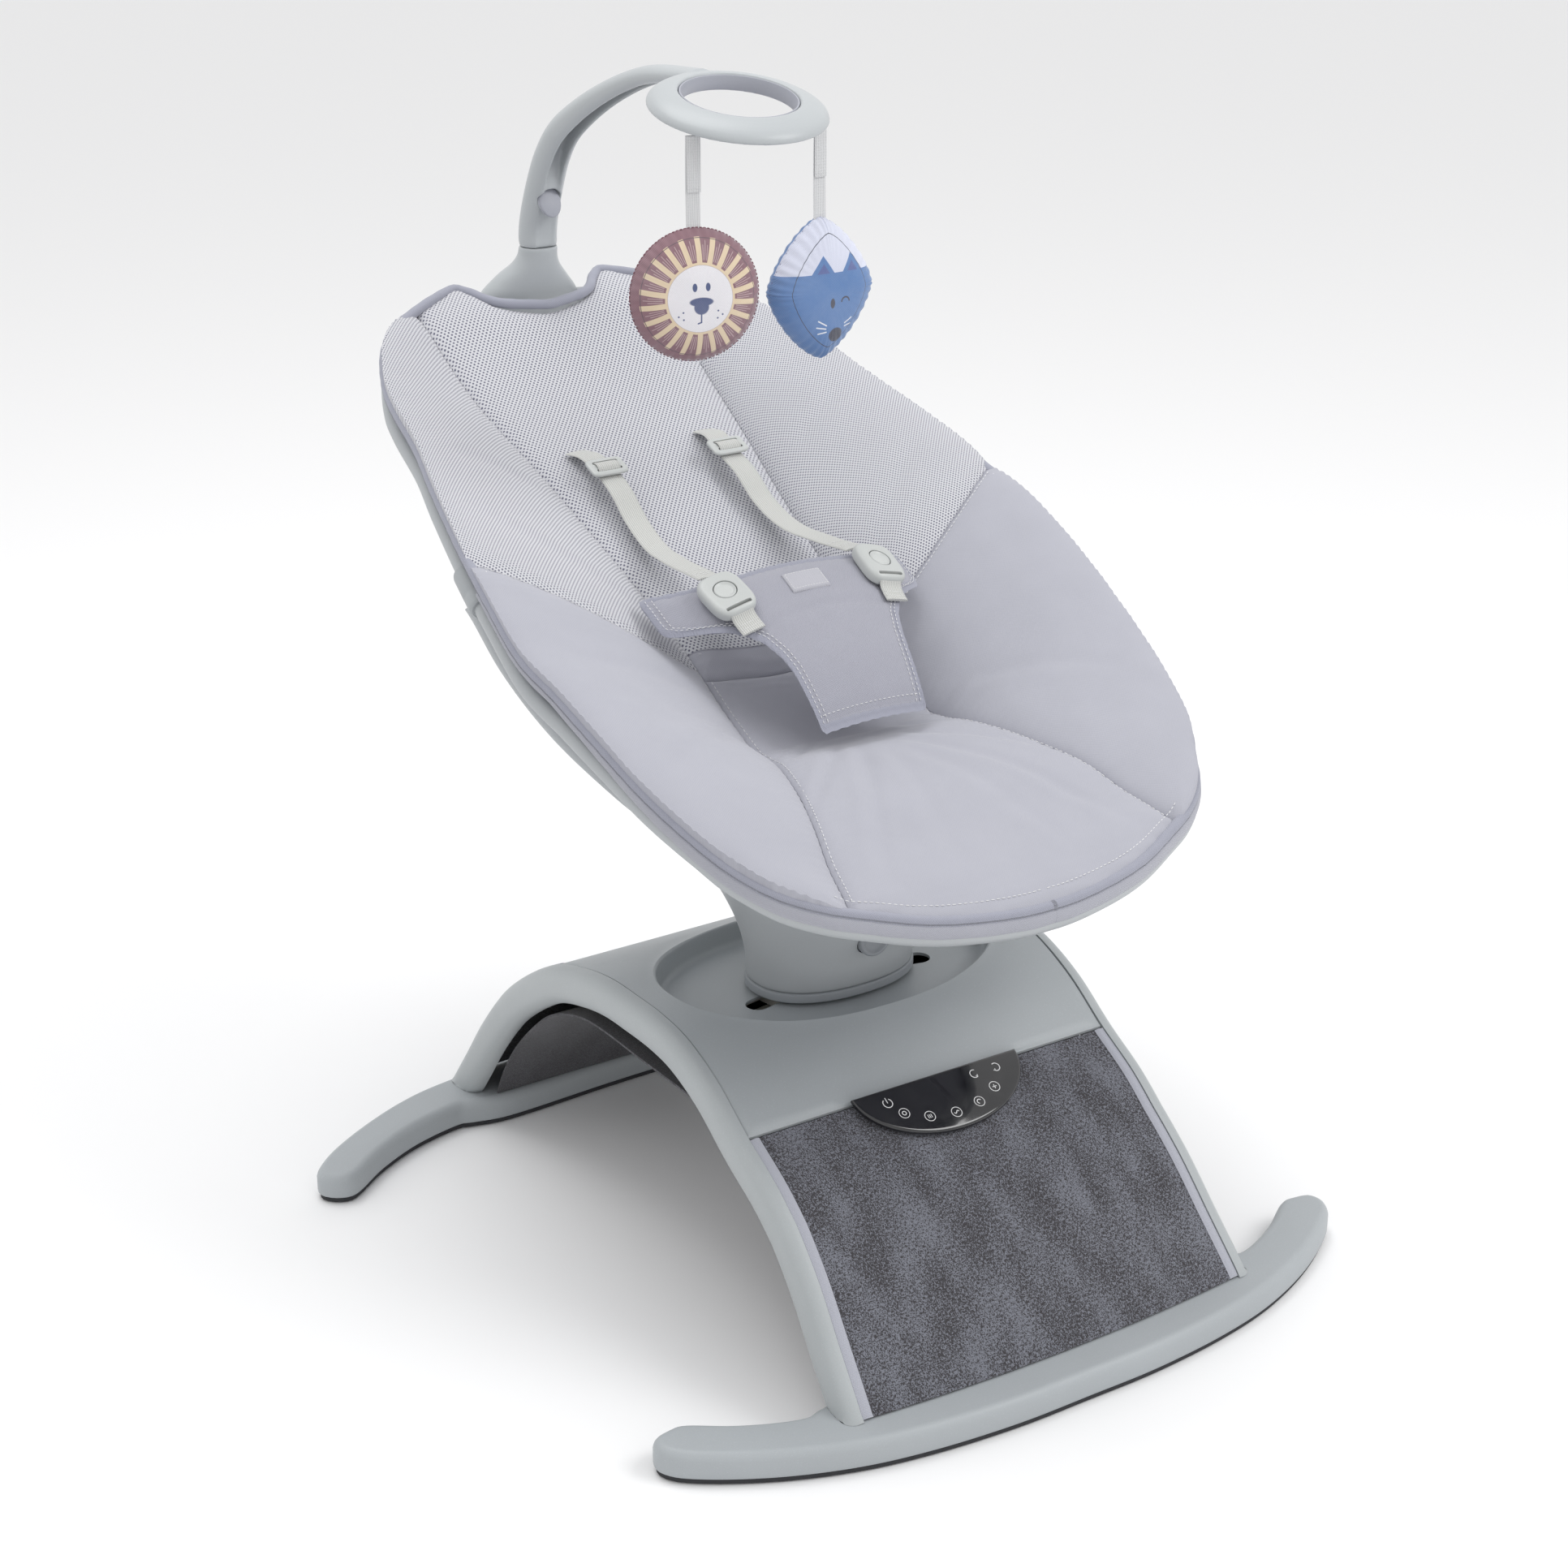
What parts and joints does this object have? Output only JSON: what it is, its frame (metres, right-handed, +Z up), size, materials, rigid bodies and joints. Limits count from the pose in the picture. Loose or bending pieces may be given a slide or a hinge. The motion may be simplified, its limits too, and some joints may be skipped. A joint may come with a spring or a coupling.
{
  "type": "baby swing",
  "caption": "Baby swing: arched floor base with a driven arc slot, pedestal, reclining padded bucket seat with harness, and a swivelling bar with hanging soft toys.",
  "frame": {"origin": "centre of the bounding box on the floor plane", "axes": "+Z up, X across the swing, -Y towards the control panel and the foot end of the seat, +Y towards the head end"},
  "size_m": [0.69, 0.8228, 0.8751],
  "materials": {
    "front_foot": "fine matte texture",
    "front_foot_sole": "matte",
    "rear_foot": "fine matte texture",
    "rear_foot_sole": "matte",
    "rail_left": "fine matte texture",
    "rail_right": "fine matte texture",
    "top_cover": "fine matte texture",
    "front_textile": "heather weave",
    "rear_textile": "heather weave",
    "underside_lining": "heather weave",
    "control_panel": "gloss",
    "control_board": "satin",
    "drive_housing": "matte",
    "arc_track": "satin",
    "drive_motor": "satin",
    "power_inlet": "matte",
    "drive_pinion": "natural",
    "pedestal_band": "fine matte texture",
    "pedestal_shell": "fine matte texture",
    "sway_carriage": "matte",
    "sway_rack": "natural",
    "return_spring": "satin",
    "sway_roller_left": "natural",
    "sway_roller_right": "natural",
    "release_button": "fine matte texture",
    "latch_rod": "satin",
    "seat_saddle": "fine matte texture",
    "frame_tube_head": "fine matte texture",
    "frame_tube_foot": "fine matte texture",
    "joint_sleeve_left": "fine matte texture",
    "joint_sleeve_right": "fine matte texture",
    "support_arm_left": "fine matte texture",
    "support_arm_right": "fine matte texture",
    "back_panel": "air mesh",
    "seat_panel": "smooth knit",
    "bolster_left": "air mesh",
    "bolster_right": "air mesh",
    "rim_binding": "folded tape",
    "crotch_panel": "smooth knit",
    "shoulder_strap_left": "webbing",
    "shoulder_strap_right": "webbing",
    "strap_adjuster_left": "fine matte texture",
    "strap_adjuster_right": "fine matte texture",
    "buckle_left": "fine matte texture",
    "buckle_right": "fine matte texture",
    "webbing_loop_left": "webbing",
    "webbing_loop_right": "webbing",
    "bar_collar": "fine matte texture",
    "buckle_button_left": "fine matte texture",
    "buckle_button_right": "fine matte texture",
    "toy_bar_arm": "fine matte texture",
    "hoop_liner": "fine matte texture",
    "stem_plug": "fine matte texture",
    "lion_ribbon": "webbing",
    "lion_cushion": "printed cotton",
    "cat_ribbon": "webbing",
    "cat_cushion": "printed cotton"
  },
  "bodies": {
    "base": {"front_foot": "front_foot", "front_foot_sole": "front_foot_sole", "rear_foot": "rear_foot", "rear_foot_sole": "rear_foot_sole", "rail_left": "rail_left", "rail_right": "rail_right", "top_cover": "top_cover", "front_textile": "front_textile", "rear_textile": "rear_textile", "underside_lining": "underside_lining", "control_panel": "control_panel", "control_board": "control_board", "drive_housing": "drive_housing", "arc_track": "arc_track", "drive_motor": "drive_motor", "power_inlet": "power_inlet"},
    "pinion": {"drive_pinion": "drive_pinion"},
    "pedestal": {"pedestal_band": "pedestal_band", "pedestal_shell": "pedestal_shell", "sway_carriage": "sway_carriage", "sway_rack": "sway_rack", "return_spring": "return_spring"},
    "roller_left": {"sway_roller_left": "sway_roller_left"},
    "roller_right": {"sway_roller_right": "sway_roller_right"},
    "recline_release": {"release_button": "release_button", "latch_rod": "latch_rod"},
    "seat": {"seat_saddle": "seat_saddle", "frame_tube_head": "frame_tube_head", "frame_tube_foot": "frame_tube_foot", "joint_sleeve_left": "joint_sleeve_left", "joint_sleeve_right": "joint_sleeve_right", "support_arm_left": "support_arm_left", "support_arm_right": "support_arm_right", "back_panel": "back_panel", "seat_panel": "seat_panel", "bolster_left": "bolster_left", "bolster_right": "bolster_right", "rim_binding": "rim_binding", "crotch_panel": "crotch_panel", "shoulder_strap_left": "shoulder_strap_left", "shoulder_strap_right": "shoulder_strap_right", "strap_adjuster_left": "strap_adjuster_left", "strap_adjuster_right": "strap_adjuster_right", "buckle_left": "buckle_left", "buckle_right": "buckle_right", "webbing_loop_left": "webbing_loop_left", "webbing_loop_right": "webbing_loop_right", "bar_collar": "bar_collar"},
    "buckle_key_left": {"buckle_button_left": "buckle_button_left"},
    "buckle_key_right": {"buckle_button_right": "buckle_button_right"},
    "toy_bar": {"toy_bar_arm": "toy_bar_arm", "hoop_liner": "hoop_liner", "stem_plug": "stem_plug"},
    "lion_toy": {"lion_ribbon": "lion_ribbon", "lion_cushion": "lion_cushion"},
    "cat_toy": {"cat_ribbon": "cat_ribbon", "cat_cushion": "cat_cushion"}
  },
  "joints": [
    {"name": "sway", "type": "hinge", "parent": "base", "child": "pedestal", "pos_m": [0, -0.4074, 0.202], "axis": [0, 0, 1], "range_deg": [-10.5, 10.5]},
    {"name": "pinion_turn", "type": "hinge", "parent": "base", "child": "pinion", "pos_m": [0, -0.0324, 0.193], "axis": [0, 0, 1], "range_deg": [-253, 253]},
    {"name": "roller_left_turn", "type": "hinge", "parent": "pedestal", "child": "roller_left", "pos_m": [-0.034, -0.07916, 0.1935], "axis": [-0.103, 0.9947, 0], "range_deg": [-632, 632]},
    {"name": "roller_right_turn", "type": "hinge", "parent": "pedestal", "child": "roller_right", "pos_m": [0.034, -0.07916, 0.1935], "axis": [0.103, 0.9947, 0], "range_deg": [-632, 632]},
    {"name": "release_press", "type": "slide", "parent": "pedestal", "child": "recline_release", "axis": [0, 1, 0], "range_m": [0, 0.004], "stiffness_N_per_m": 500},
    {"name": "recline", "type": "hinge", "parent": "pedestal", "child": "seat", "pos_m": [0, -0.0574, 0.395], "axis": [1, 0, 0], "range_deg": [-8, 10]},
    {"name": "buckle_press_left", "type": "slide", "parent": "seat", "child": "buckle_key_left", "axis": [0.2067, 0.395, -0.8951], "range_m": [0, 0.002], "stiffness_N_per_m": 500},
    {"name": "buckle_press_right", "type": "slide", "parent": "seat", "child": "buckle_key_right", "axis": [-0.2067, 0.395, -0.8951], "range_m": [0, 0.002], "stiffness_N_per_m": 500},
    {"name": "toy_bar_swivel", "type": "hinge", "parent": "seat", "child": "toy_bar", "pos_m": [0, 0.3696, 0.697], "axis": [0, 0, 1], "range_deg": [-90, 90]},
    {"name": "lion_swing", "type": "hinge", "parent": "toy_bar", "child": "lion_toy", "pos_m": [-0.055, 0.0286, 0.8445], "axis": [1, 0, 0], "range_deg": [-25, 25]},
    {"name": "cat_swing", "type": "hinge", "parent": "toy_bar", "child": "cat_toy", "pos_m": [0.055, 0.0286, 0.8445], "axis": [1, 0, 0], "range_deg": [-25, 25]}
  ],
  "couplings": [
    {"joint": "pinion_turn", "follows": "sway", "ratio": -24},
    {"joint": "roller_left_turn", "follows": "sway", "ratio": -60},
    {"joint": "roller_right_turn", "follows": "sway", "ratio": -60}
  ]
}
